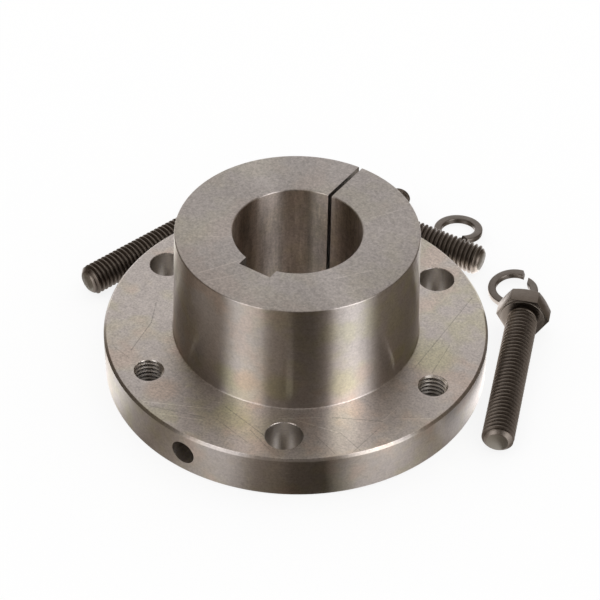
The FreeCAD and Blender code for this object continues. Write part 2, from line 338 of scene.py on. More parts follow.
def turned(name, outline, segments=SEGMENTS, closed=False):
    """Turns a part from (radius, height) points, one ring after another as on a lathe.

    A closed outline goes round a hollow part; an open one is capped flat at both ends.
    """
    radius, height = outline[0]
    bpy.ops.mesh.primitive_circle_add(vertices=segments, radius=radius)
    part = named(name)
    place(part, Matrix.Translation((0, 0, height)))
    with editing(part, "EDGE", "SELECT"):
        if not closed:
            bpy.ops.mesh.edge_face_add()
        for r, z in outline[1:]:
            bpy.ops.mesh.extrude_edges_move(TRANSFORM_OT_translate={"value": (0, 0, z - height)})
            widen(r / radius)
            radius, height = r, z
        if not closed:
            bpy.ops.mesh.edge_face_add()
    tidy_normals(part)
    return part


def rounded(centre, radius, start, end, steps=4):
    """Points of an arc in an outline, between two angles in degrees from the outward side."""
    r, z = centre
    angles = [math.radians(start + (end - start) * k / steps) for k in range(steps + 1)]
    return [(r + radius * math.cos(a), z + radius * math.sin(a)) for a in angles]


def threaded_rod(name, major_r, minor_r, pitch, start, end):
    """Right-hand thread along Z between two heights, closed by a cone past each end."""
    profile = [(0, 0), (0, 0.10), (1, 0.42), (1, 0.58), (0, 0.90), (0, 1)]
    turns = math.ceil((end - start) / pitch) + 1
    bpy.ops.mesh.primitive_plane_add(size=pitch)
    rod = named(name)
    with editing(rod, "VERT", "SELECT"):
        bpy.ops.mesh.merge(type="CENTER")
        bpy.ops.transform.translate(value=(minor_r, 0, start))
        for (depth_a, part_a), (depth_b, part_b) in zip(profile, profile[1:]):
            step = ((depth_b - depth_a) * (major_r - minor_r), 0, (part_b - part_a) * pitch)
            bpy.ops.mesh.extrude_vertices_move(TRANSFORM_OT_translate={"value": step})
    sweep(rod, THREAD_STEPS, screw_offset=pitch, iterations=turns)
    with editing(rod, "VERT", "SELECT"):
        bpy.ops.mesh.remove_doubles(threshold=SAME_POINT)
    middle = start + (turns + 1) * pitch / 2
    for apex, below in ((start - 2 * pitch, True), (start + (turns + 3) * pitch, False)):
        with editing(rod, "EDGE"):
            pick(rod, "edges", lambda e: e.is_boundary and (e.verts[0].co.z < middle) == below)
            bpy.ops.mesh.extrude_edges_move(TRANSFORM_OT_translate={"value": (0, 0, 0)})
            bpy.ops.mesh.select_mode(type="VERT")
            bpy.context.scene.cursor.location = (0, 0, apex)
            bpy.ops.mesh.merge(type="CURSOR")
    bpy.context.scene.cursor.location = (0, 0, 0)
    tidy_normals(rod)
    return rod


def on_circle(radius, angle, z=0.0):
    """Point at a radius and an angle in degrees round the axis."""
    a = math.radians(angle)
    return Vector((radius * math.cos(a), radius * math.sin(a), z))


def corner_radius(flats):
    """Radius to the corners of a hexagon, from its size across the flats."""
    return flats / 2 / math.cos(math.radians(30))


def hexagon(name, flats, low, height):
    """A hexagonal bar along Z, standing on a height."""
    bpy.ops.mesh.primitive_cylinder_add(
        vertices=6, radius=corner_radius(flats), depth=height, location=(0, 0, low + height / 2)
    )
    return named(name)


def copy_of(model, name):
    """A copy of a piece, with a mesh of its own."""
    piece = model.copy()
    piece.data = model.data.copy()
    bpy.context.scene.collection.objects.link(piece)
    choose(piece)
    return named(name)


def shaded(obj, angle=28):
    """Smooth shading with creases at edges sharper than an angle in degrees."""
    choose(obj)
    bpy.ops.object.shade_smooth_by_angle(angle=math.radians(angle))


def finished(obj, materials, node):
    """Gives a piece its materials and its body, and hides the solid that it stands for."""
    obj.data.materials.clear()
    for material in materials:
        obj.data.materials.append(material)
    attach(obj, ROOT)
    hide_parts(node)
    deselect()


def place_on(obj, node):
    """Moves a piece, already turned as its solid is, to the place of that solid."""
    bpy.context.view_layer.update()
    low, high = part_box(node)
    corners = [v.co for v in obj.data.vertices]
    own_low = Vector([min(c[i] for c in corners) for i in range(3)])
    own_high = Vector([max(c[i] for c in corners) for i in range(3)])
    off = (own_high - own_low) - (high - low)
    if max(abs(c) for c in off) > SIZE_TOLERANCE:
        raise RuntimeError("%s doesn't have the size of %s: %s" % (obj.name, node, off))
    shift = (low + high - own_low - own_high) / 2
    shift.z = low.z - own_low.z
    place(obj, Matrix.Translation(shift))


class Value:
    """A shader socket that can stand in a Python expression, which adds its Math nodes."""

    def __init__(self, shader, socket):
        self.shader = shader
        self.socket = socket

    def math(self, operation, *values):
        """One Math node."""
        return self.shader.node("ShaderNodeMath", {"operation": operation}, dict(enumerate(values)))

    def __add__(self, other):
        return self.math("ADD", self, other)

    def __radd__(self, other):
        return self.math("ADD", other, self)

    def __sub__(self, other):
        return self.math("SUBTRACT", self, other)

    def __rsub__(self, other):
        return self.math("SUBTRACT", other, self)

    def __mul__(self, other):
        return self.math("MULTIPLY", self, other)

    def __rmul__(self, other):
        return self.math("MULTIPLY", other, self)

    def __truediv__(self, other):
        return self.math("DIVIDE", self, other)

    def __rtruediv__(self, other):
        return self.math("DIVIDE", other, self)

    def __pow__(self, other):
        return self.math("POWER", self, other)

    def __gt__(self, other):
        return self.math("GREATER_THAN", self, other)

    def __lt__(self, other):
        return self.math("LESS_THAN", self, other)


class Shader:
    """One node tree being built, with a single method that adds any node."""

    def __init__(self, owner):
        owner.use_nodes = True
        self.tree = owner.node_tree
        self.tree.nodes.clear()

    def node(self, kind, settings=None, sockets=None, output=0):
        """Adds a node: its settings are set first, then its sockets get values or links."""
        made = self.tree.nodes.new(kind)
        for key, value in (settings or {}).items():
            if key == "stops":
                self.ramp(made.color_ramp, value)
            else:
                setattr(made, key, value)
        for key, value in (sockets or {}).items():
            target = made.inputs[key]
            if isinstance(value, Value):
                self.tree.links.new(value.socket, target)
            else:
                target.default_value = value
        return Value(self, made.outputs[output]) if made.outputs else made

    @staticmethod
    def ramp(ramp, stops):
        """Sets a colour ramp's stops from (position, colour) pairs in order."""
        first, last = ramp.elements[0], ramp.elements[-1]
        first.position, first.color = stops[0][0], (*stops[0][1], 1)
        last.position, last.color = stops[-1][0], (*stops[-1][1], 1)
        for position, colour in stops[1:-1]:
            ramp.elements.new(position).color = (*colour, 1)

    def noise(self, vector, scale, detail=2.0, roughness=0.5):
        """Noise between 0 and 1."""
        sockets = {"Vector": vector, "Scale": scale, "Detail": detail, "Roughness": roughness}
        return self.node("ShaderNodeTexNoise", {}, sockets)

    def attribute(self, name):
        """A level stored in the mesh."""
        return self.node("ShaderNodeAttribute", {"attribute_name": name}, {}, output="Fac")

    def between(self, value, low, high):
        """0 below a low value, 1 above a high one, and smooth between them."""
        settings = {"interpolation_type": "SMOOTHSTEP"}
        sockets = {"Value": value, "From Min": low, "From Max": high}
        return self.node("ShaderNodeMapRange", settings, sockets)

    def blend(self, factor, first, second):
        """One colour over another."""
        sockets = {"Factor": factor, 6: self.colour(first), 7: self.colour(second)}
        return self.node("ShaderNodeMix", {"data_type": "RGBA"}, sockets, output=2)

    @staticmethod
    def colour(value):
        """A colour with its alpha, or a link as it is."""
        return value if isinstance(value, Value) else (*value, 1.0)

    def joined(self, x, y, z):
        """A vector from three values."""
        return self.node("ShaderNodeCombineXYZ", {}, {0: x, 1: y, 2: z})

    def scaled(self, vector, share):
        """A vector or a colour times a number."""
        sockets = {0: vector, "Scale": share}
        return self.node("ShaderNodeVectorMath", {"operation": "SCALE"}, sockets)

    def place(self):
        """Object coordinates in millimetres, as a vector and as three values."""
        coordinates = self.node("ShaderNodeTexCoord", {}, {}, output="Object")
        position = self.scaled(coordinates, 1000.0)
        return (position, *self.parts(position))

    def parts(self, vector):
        """The three values of a vector."""
        split = self.node("ShaderNodeSeparateXYZ", {}, {0: vector}).socket.node.outputs
        return [Value(self, output) for output in split]

    def seen_directly(self):
        """1 for rays from the camera, in a reflection or through glass, and 0 for the rest."""
        path = self.node("ShaderNodeLightPath").socket.node.outputs
        kinds = ("Is Camera Ray", "Is Glossy Ray", "Is Transmission Ray")
        camera, glossy, through = (Value(self, path[kind]) for kind in kinds)
        return camera + glossy + through

    def surface(self, **sockets):
        """A Principled surface, with _ for each space in the names of its sockets."""
        sockets = {key.replace("_", " "): value for key, value in sockets.items()}
        shader = self.node("ShaderNodeBsdfPrincipled", {}, sockets)
        self.node("ShaderNodeOutputMaterial", {}, {"Surface": shader})

    def steel(self, tone, shade, roughness, bump, **more):
        """A metal surface whose tone is made darker or brighter by a shade."""
        base = self.scaled(tone, shade)
        self.surface(Metallic=1.0, Base_Color=base, Roughness=roughness, Normal=bump, **more)

    def bump(self, height, distance):
        """A Bump node for Normal."""
        return self.node("ShaderNodeBump", {}, {"Height": height, "Distance": distance})


def new_material(name):
    """A material and its shader."""
    material = bpy.data.materials.new(name)
    return material, Shader(material)


# Scratches on the bushing: both ends in millimetres, the height of the face, and the change of
# brightness
SCRATCHES = (
    (-22.6, -70.1, 0.5, -59.0, 19, 0.28), (-19.1, -70.8, 1.7, -64.0, 19, -0.25),
    (-13.4, -72.0, 1.8, -65.6, 19, 0.22), (4.4, -54.7, 28.8, -59.8, 19, -0.30),
    (5.6, -62.1, 22.6, -65.7, 19, -0.22), (19.6, -59.7, 31.7, -64.2, 19, -0.22),
    (25.0, -48.6, 37.4, -39.1, 19, 0.32), (29.3, -45.7, 47.3, -42.1, 19, 0.26),
    (41.3, -36.4, 58.0, -27.4, 19, -0.30), (57.9, -27.2, 58.7, -17.8, 19, 0.20),
    (41.1, -48.0, 52.7, -52.0, 19, -0.22), (48.1, -41.6, 59.3, -45.1, 19, -0.22),
    (57.7, -47.7, 59.0, -30.7, 19, -0.22), (61.2, -23.5, 72.0, -15.9, 19, 0.25),
    (49.6, 53.6, 52.4, 5.1, 19, -0.24), (56.8, 24.0, 59.4, 6.5, 19, -0.24),
    (-53.0, -21.7, -47.4, -32.4, 19, -0.28), (-47.4, -32.4, -44.1, -49.8, 19, -0.28),
    (-50.2, -52.3, -42.2, -53.8, 19, -0.2), (-34.9, -28.3, -18.5, -17.5, 66.7, 0.16),
    (-16.5, -42.3, -8.2, -27.7, 66.7, 0.24), (-11.7, -44.8, -2.9, -32.9, 66.7, 0.16),
    (-7.2, -45.2, -1.8, -35.6, 66.7, 0.18), (27.0, -16.1, 36.4, -3.1, 66.7, 0.22),
    (18.8, 22.1, 27.4, 36.2, 66.7, 0.16),
)
# Share of the change that shows, by the height of the face
SCRATCH_LEVEL = {19: 1.15, 66.7: 1.05}
# Heights in millimetres that part the finishes and the painted light and shade: above the flange's
# face, on the barrel's end face, and below it for the bore
OVER_FLANGE = 19.3
END_FACE = 66.4
UNDER_END = 66.3


def scratched(s, x, y, z):
    """Sum of the listed scratches: positive where one is bright and negative where it is dark."""
    total = 0.0
    for x0, y0, x1, y1, height, level in SCRATCHES:
        dx, dy = x1 - x0, y1 - y0
        along = ((x - x0) * dx + (y - y0) * dy) / (dx * dx + dy * dy)
        along = s.node("ShaderNodeClamp", {}, {"Value": along})
        off_x, off_y = x - x0 - along * dx, y - y0 - along * dy
        far = (off_x * off_x + off_y * off_y) ** 0.5 + (z - height).math("ABSOLUTE", z - height)
        total = total + (1 - s.between(far, 0.08, 0.36)) * (level * SCRATCH_LEVEL[height])
    return total


def hairlines(s, x, y, z, angle, seed):
    """Fine straight scratches in one direction over the whole piece."""
    c, n = math.cos(math.radians(angle)), math.sin(math.radians(angle))
    along, beside = (x * c + y * n) * 0.06, (y * c - x * n) * 2.4
    lines = s.noise(s.joined(along, beside, z * 1.7 + seed), 1.0, detail=2.0)
    return s.between(lines, 0.66, 0.74)


# Where the oil film is thickest: centre and radius in millimetres, and its strength
OLIVE_SPOTS = (
    (1.3, -48.5, 28, 8, 0.8), (22.0, -43.2, 29, 9, 0.9), (40.0, -27.5, 29, 9, 0.9),
    (9.5, -57.0, 19, 10, 0.7), (20.0, -58.0, 19, 10, 0.5), (55.0, 14.0, 19, 13, 0.8),
    (-34.0, -24.0, 66.7, 12, 0.3),
)
ROSE_SPOTS = ((8.6, -47.6, 29, 7, 1.0), (-21.0, -61.0, 19, 9, 0.9), (44.5, -19.5, 31, 6, 0.6))


def spots(s, position, rows):
    """Soft round patches, from 0 to 1."""
    total = 0.0
    for x, y, z, radius, strength in rows:
        sockets = {0: position, 1: (x, y, z)}
        far = s.node("ShaderNodeVectorMath", {"operation": "DISTANCE"}, sockets, output="Value")
        total = total + (1 - s.between(far, radius * 0.35, radius)) * strength
    return total


def ground_steel(colours):
    """Turned and ground steel: rings of tool marks round the axis, scratches, a thin oil film, and
    painted light and shade by face and in the bore.
    """
    material, s = new_material("ground_steel")
    position, x, y, z = s.place()
    radius = (x * x + y * y) ** 0.5 + 0.001
    across = radius + z * 1.31
    around = s.joined(x / radius * 2.2, y / radius * 2.2, across * 2.6)
    rings = s.noise(around, 1.0, detail=4.0, roughness=0.7)
    closer = s.joined(x / radius * 9.0, y / radius * 9.0, across * 7.0)
    fine = s.noise(closer, 1.0, detail=2.0)
    sand = s.noise(position, 1.1, detail=2.0, roughness=0.6)
    grain = s.noise(position, 0.45, detail=3.0, roughness=0.6)
    clouds = s.noise(position, 0.06, detail=2.5, roughness=0.6)
    patches = s.noise(position, 0.03, detail=3.0, roughness=0.6)
    film = s.blend(s.between(patches, 0.50, 0.62), colours.olive, colours.rose)
    filmed = s.between(clouds, 0.42, 0.62) * (0.6 - (z > END_FACE) * 0.35)
    tone = s.blend(filmed, colours.ground, film)
    uneven = 0.55 + clouds * 0.7
    tone = s.blend(spots(s, position, OLIVE_SPOTS) * uneven, tone, colours.olive)
    tone = s.blend(spots(s, position, ROSE_SPOTS) * uneven, tone, colours.rose)
    lines = (
        hairlines(s, x, y, z, 24, 3.0)
        - hairlines(s, x, y, z, -37, 9.0) * 0.8
        + hairlines(s, x, y, z, 81, 17.0) * 0.7
    )
    smooth = (radius > 40.0) * (z > OVER_FLANGE) * (z < END_FACE) + (radius > 75.7)
    coarse = (sand - 0.5) * 0.85 + (grain - 0.5) * 0.45
    shade = (
        1.0
        + coarse * (1 - smooth * 0.38)
        + (rings - 0.5) * 0.20
        + (fine - 0.5) * 0.16
        + (clouds - 0.5) * 0.16
    )
    # Painted light and shade: steel below the flange's face inside the rim is 25% lighter, the
    # barrel's end face 6% darker
    faces = 1 + (z < OVER_FLANGE) * (radius < 75.4) * 0.25 - (z > END_FACE) * 0.06
    shade = (shade + lines * 0.14 + scratched(s, x, y, z)) * faces
    streaks = s.joined(x * 0.55, y * 0.55, z * 0.07)
    stains = s.noise(streaks, 1.0, detail=4.0, roughness=0.65)
    # Partly vertical stains and partly painted shade: the bore's wall is 10% darker all over and up
    # to 30% darker in the stains
    bored = (radius < 25.1) * (z < UNDER_END)
    shade = shade * (1 - bored * (0.1 + s.between(stains, 0.35, 0.65) * 0.2))
    tone = s.blend(bored * 0.5, tone, colours.rose)
    roughness = 0.28 + (rings - 0.5) * 0.01 + bored * 0.09
    bump = s.bump(rings * 0.55 + fine * 0.25 + sand * 0.30, 0.000006)
    s.steel(tone, shade, roughness, bump, Anisotropic=1.0, Anisotropic_Rotation=0.25)
    return material


def hole_steel(colours):
    """Drilled and tapped steel: ridges left by the tool, and painted shade that darkens the walls
    further down.
    """
    material, s = new_material("hole_steel")
    position, x, y, z = s.place()
    dirt = s.attribute("dirt")
    ridges = s.noise(s.joined(x * 0.5, y * 0.5, z * 3.5), 1.0, detail=3.0, roughness=0.7)
    grain = s.noise(position, 1.6, detail=3.0, roughness=0.6)
    tone = s.blend(s.between(grain, 0.40, 0.70) * 0.4, colours.ground, colours.olive)
    # Painted shade: the wall's level darkens its colour, and lightens it where the level is below 0
    shade = (1.15 + (ridges - 0.5) * 0.7 + (grain - 0.5) * 0.5) * (1 - dirt)
    roughness = 0.22 + (ridges - 0.5) * 0.15 + dirt.math("ABSOLUTE", dirt) * 0.5
    bump = s.bump(ridges * 0.6 + grain * 0.4, 0.00006)
    s.steel(tone, shade, roughness, bump)
    return material


def black_oxide(colours):
    """Black oxide of the screws, rubbed thin on the crests and the edges and off the point, with a
    painted highlight there and painted shade under the head.
    """
    material, s = new_material("black_oxide")
    position = s.place()[0]
    crest = s.attribute("crest")
    point = s.attribute("point")
    grain = s.noise(position, 3.2, detail=3.0, roughness=0.6)
    clouds = s.noise(position, 0.12, detail=3.0, roughness=0.6)
    worn = s.between(crest + (grain - 0.5) * 0.6 + (clouds - 0.5) * 0.5, 0.75, 1.05)
    tone = s.blend(worn * 0.5, colours.oxide, colours.worn)
    tone = s.blend(point * 0.8, tone, colours.point)
    # Painted shade: the head's bearing face, underneath, is half as bright
    bearing = 0.5 + 0.5 * s.between(point, -1.0, 0.0)
    # Partly worn oxide and partly painted highlight: shade from 0.85 in the roots to 1.15 on crests
    # and head, more where worn bare
    shade = (0.85 + crest * 0.3 + (grain - 0.5) * 0.5) * bearing
    roughness = 0.36 + (grain - 0.5) * 0.16 + (clouds - 0.5) * 0.12
    bump = s.bump(grain, 0.00003)
    s.steel(tone, shade, roughness, bump)
    return material


def dark_phosphate(colours):
    """Dark satin finish of the lock washers."""
    material, s = new_material("dark_phosphate")
    position = s.place()[0]
    grain = s.noise(position, 2.4, detail=4.0, roughness=0.65)
    clouds = s.noise(position, 0.25, detail=3.0, roughness=0.6)
    tone = s.blend(s.between(clouds, 0.40, 0.66) * 0.5, colours.phosphate, colours.worn)
    limits = {"From Min": 0.3, "From Max": 0.7, "To Min": 0.78, "To Max": 1.15}
    shade = s.node("ShaderNodeMapRange", {}, {"Value": grain, **limits})
    roughness = 0.36 + (grain - 0.5) * 0.2
    s.steel(tone, shade, roughness, s.bump(grain, 0.00004))
    return material


# Level of a crest that is worn bare; it also lifts the shade as a painted highlight
WORN_BARE = 2.0


def mark(obj, name, domain, level):
    """Stores a level for each point or face, for its material to read."""
    layer = obj.data.attributes.new(name, "FLOAT", domain)
    elements = obj.data.vertices if domain == "POINT" else obj.data.polygons
    for item, element in zip(layer.data, elements):
        item.value = level(element)


def mark_screw(obj, crest_r, root_r):
    """Marks a screw's crests and its worn point, and its head's bearing face with -1 for painted
    shade.
    """
    reach = crest_r - root_r

    def crest(v):
        if v.co.z < 0.25 * MM:
            return WORN_BARE
        return min(1.0, max(0.0, (math.hypot(v.co.x, v.co.y) - root_r) / reach))

    def point(face):
        if face.normal.z > -0.99:
            return 0.0
        return 1.0 if face.center.z < 0.1 * MM else -1.0

    mark(obj, "crest", "POINT", crest)
    mark(obj, "point", "FACE", point)


# Painted shade on the walls of the holes, the keyway and the saw cut, which also makes them
# rougher; below 0 it is painted light, for a bright rough cut
DRILLED_WALL_SHADE = 0.3
SET_HOLE_WALL_SHADE = -0.25
KEYWAY_WALL_SHADE = 0.62
SAW_CUT_WALL_SHADE = 0.35


class BUSHING_OT_body(bpy.types.Operator):
    """Model the split taper bushing"""

    bl_idname = "bushing.body"
    bl_label = "Bushing"

    def blank(self, s):
        """The turned blank: flange, root fillet, tapered barrel and bore."""
        root_r = s.barrel_r - s.fillet_r * s.taper
        end_r = s.barrel_r - (s.total_height - s.flange_height) * s.taper
        corner = s.edge_break
        ease = s.soft_r * math.tan(math.radians(22.5))
        lip = 1.6 * s.bore_chamfer
        rim = (s.flange_r - s.top_chamfer - ease, s.flange_height - s.soft_r)
        root = (root_r + s.fillet_r, s.flange_height + s.fillet_r)
        end = (end_r - corner, s.total_height - corner)
        top, chamfer = s.total_height, s.bore_chamfer
        turns = [math.radians(90 * k / 5) for k in range(6)]
        mouth = [
            (s.bore_r + lip * (1 - math.sin(t)), top - chamfer * (1 - math.cos(t))) for t in turns
        ]
        outline = [
            (s.bore_r + s.bore_chamfer, 0),
            (s.flange_r - s.back_chamfer, 0),
            (s.flange_r, s.back_chamfer),
            (s.flange_r, s.flange_height - s.top_chamfer),
            *rounded(rim, s.soft_r, 45, 90, 3),
            *rounded(root, s.fillet_r, 270, 180, 6),
            *rounded(end, corner, 0, 90, 4),
            *mouth,
            (s.bore_r, s.bore_chamfer),
            (s.bore_r + s.bore_chamfer, 0),
        ]
        return turned("bushing_body", outline, closed=True)

    def drill(self, s, angle):
        """Cutter for one plain hole with deburred mouths."""
        r, wide, top = s.drilled_r, s.drilled_r + s.deburr + CUT, s.flange_height
        outline = [(wide, -CUT), (r, s.deburr), (r, top - s.deburr), (wide, top + CUT)]
        tool = turned("drill", outline, HOLE_SEGMENTS)
        place(tool, Matrix.Translation(on_circle(s.hole_circle_r, angle)))
        return tool

    def tap(self, s, f, angle):
        """Cutters for one tapped hole: its thread and its deburred mouths."""
        minor_r = mount_size("tapped_hole_1", "r_mm")
        turn = Matrix.Rotation(math.radians(angle), 4, "Z")
        place_at = Matrix.Translation(on_circle(s.hole_circle_r, angle)) @ turn
        major_r, top = f.screw_r + 0.05 * MM, s.flange_height
        thread = threaded_rod("tap", major_r, minor_r, f.screw_pitch, -CUT, top + CUT)
        place(thread, place_at)
        lip = minor_r + 0.35 * MM
        outline = [
            (lip + CUT, -CUT),
            (minor_r, lip - minor_r),
            (minor_r, top - lip + minor_r),
            (lip + CUT, top + CUT),
        ]
        mouths = turned("tap_mouths", outline, HOLE_SEGMENTS)
        place(mouths, place_at)
        return [thread, mouths]

    def set_screw_tools(self, s, f):
        """Cutters of the radial hole: clear at the rim, tapped over the keyway."""
        minor_r = mount_size("set_screw_hole", "r_mm")
        middle = Matrix.Translation((0, 0, s.flange_height / 2))
        lean = middle @ Matrix.Rotation(math.radians(90), 4, "X")
        first, last = s.bore_r + f.set_pitch, s.set_thread_end
        thread = threaded_rod("set_tap", f.set_r, minor_r, f.set_pitch, first, last)
        cone_from = s.set_thread_end - (s.set_clear_r - minor_r)
        outline = [
            (minor_r, s.bore_r),
            (minor_r, cone_from),
            (s.set_clear_r, s.set_thread_end),
            (s.set_clear_r, s.flange_r + CUT),
        ]
        clear = turned("set_clear", outline, HOLE_SEGMENTS)
        for tool in (thread, clear):
            place(tool, lean)
        return [thread, clear]

    def dirt(self, s, face):
        """Painted shade on a hole's wall, the keyway's walls and the saw cut's walls, and 0 for a
        face that isn't in a hole.
        """
        x, y, z = face.center
        lip, ease = s.deburr * 0.4, 0.05 * MM
        if lip < z < s.flange_height - lip:
            for angle in TAPPED_ANGLES:
                if (face.center - on_circle(s.hole_circle_r, angle, z)).length < 7 * MM:
                    # Painted shade, darker further down the tapped hole
                    return min(0.7, 0.05 + 0.045 * (s.flange_height - z) / MM)
            for angle in DRILLED_ANGLES:
                if (face.center - on_circle(s.hole_circle_r, angle, z)).length < 7.6 * MM:
                    return DRILLED_WALL_SHADE
            beside = math.hypot(x, z - s.flange_height / 2)
            if beside < s.set_clear_r + 0.1 * MM and y < -s.bore_r - MM:
                return SET_HOLE_WALL_SHADE if math.hypot(x, y) < s.flange_r - 0.3 * MM else 0.0
        in_keyway = abs(x) < s.key_width / 2 + ease and -s.key_floor_r - ease < y < 0
        if abs(face.normal.z) < 0.1 and in_keyway:
            return KEYWAY_WALL_SHADE
        in_saw_cut = abs(x + s.slit_offset) < s.slit_width / 2 + ease and y > s.bore_r
        if abs(face.normal.x) > 0.9 and in_saw_cut:
            return SAW_CUT_WALL_SHADE
        return 0.0

    def execute(self, context):
        s, f = context.scene.bushing_sizes, context.scene.fastener_sizes
        body = self.blank(s)
        keyway = ("keyway", 0, s.key_width, -s.key_floor_r)
        saw_cut = ("saw_cut", -s.slit_offset, s.slit_width, s.flange_r + CUT)
        for name, x, width, reach in (keyway, saw_cut):
            bpy.ops.mesh.primitive_cube_add(
                size=1,
                location=(x, reach / 2, s.total_height / 2),
                scale=(width, abs(reach), s.total_height + 2 * CUT),
            )
            carve(body, named(name))
        carve(body, joined([self.drill(s, angle) for angle in DRILLED_ANGLES], "drills"))
        taps = [self.tap(s, f, angle) for angle in TAPPED_ANGLES]
        carve(body, joined([pair[0] for pair in taps], "taps"))
        carve(body, joined([pair[1] for pair in taps], "mouths"))
        for tool in self.set_screw_tools(s, f):
            carve(body, tool)
        shaded(body)
        mark(body, "dirt", "FACE", lambda p: self.dirt(s, p))
        colours = context.scene.steel_colours
        finished(body, (ground_steel(colours), hole_steel(colours)), "bushing")
        for face, level in zip(body.data.polygons, body.data.attributes["dirt"].data):
            face.material_index = int(level.value != 0)
        return {"FINISHED"}


class BUSHING_OT_cap_screws(bpy.types.Operator):
    """Model the three hexagon cap screws"""

    bl_idname = "bushing.cap_screws"
    bl_label = "Cap screws"

    def head(self, f):
        """Hexagon head with a turned chamfer."""
        low = f.screw_length + f.face_height
        head = hexagon("head", f.head_flats, low, f.head_height)
        face_r = f.head_flats / 2 * FACE_SHARE
        wide_r = corner_radius(f.head_flats) + CUT
        drop = (wide_r - face_r) * math.tan(math.radians(30))
        top = low + f.head_height
        outline = [(wide_r, low - CUT), (wide_r, top - drop), (face_r, top), (face_r / 2, top)]
        carve(head, turned("head_chamfer", outline, HOLE_SEGMENTS), "INTERSECT")
        limit = math.radians(40)
        modify(
            head, "BEVEL", width=HEAD_EDGE, segments=2, limit_method="ANGLE", angle_limit=limit
        )
        return head

    def screw(self, f):
        """One cap screw, its point at the origin and its head at +Z."""
        pitch, depth = f.screw_pitch, THREAD_DEPTH * f.screw_pitch
        root_r = f.screw_r - depth
        end = f.screw_length - 0.35 * MM
        thread = threaded_rod("thread", f.screw_r, root_r, pitch, -2 * pitch, end + 2 * pitch)
        blank_r = f.screw_r + 0.02 * MM
        tip_r = f.screw_r - f.point_chamfer
        soft = f.point_softness
        blank = [
            (tip_r - soft, 0),
            (tip_r - soft * 0.3, soft * 0.3),
            (tip_r + soft * 0.7, soft),
            (blank_r, f.point_chamfer),
            (blank_r, end - pitch),
            (blank_r - depth, end),
        ]
        carve(thread, turned("blank", blank, HOLE_SEGMENTS), "INTERSECT")
        face_r = f.head_flats / 2 * FACE_SHARE
        under = f.screw_length + f.face_height
        collar = [
            (root_r - 0.3 * MM, end - 4 * MM),
            (root_r - 0.02 * MM, end - 3 * MM),
            *rounded((root_r + f.neck_r, f.screw_length - f.neck_r), f.neck_r, 180, 90, 5),
            (face_r - 0.1 * MM, f.screw_length),
            (face_r, f.screw_length + 0.1 * MM),
            (face_r, under + 0.4 * MM),
        ]
        carve(thread, turned("collar", collar, HOLE_SEGMENTS), "UNION")
        carve(thread, self.head(f), "UNION")
        tidy_normals(thread, SAME_POINT_JOINED)
        return thread

    def execute(self, context):
        f = context.scene.fastener_sizes
        steel = black_oxide(context.scene.steel_colours)
        model = self.screw(f)
        shaded(model)
        mark_screw(model, f.screw_r, f.screw_r - THREAD_DEPTH * f.screw_pitch)
        rise = f.head_flats / 2 - f.screw_r
        slope = math.atan2(rise, f.screw_length + f.face_height - f.point_chamfer)
        for node, bearing, roll in zip(SCREW_NODES, SCREW_BEARINGS, SCREW_ROLLS):
            screw = copy_of(model, node + "_threaded")
            place(screw, lying(bearing, slope) @ Matrix.Rotation(math.radians(roll), 4, "Z"))
            place_on(screw, node)
            finished(screw, (steel,), node)
        bpy.data.objects.remove(model)
        return {"FINISHED"}


def lying(bearing, slope):
    """Turns a part's +Z to a bearing round the axis and up a slope, with its +X uppermost."""
    level = on_circle(1.0, bearing)
    along = level * math.cos(slope) + Vector((0, 0, math.sin(slope)))
    side = along.cross(Vector((0, 0, 1))).normalized()
    up = side.cross(along)
    return Matrix((up, side, along)).transposed().to_4x4()


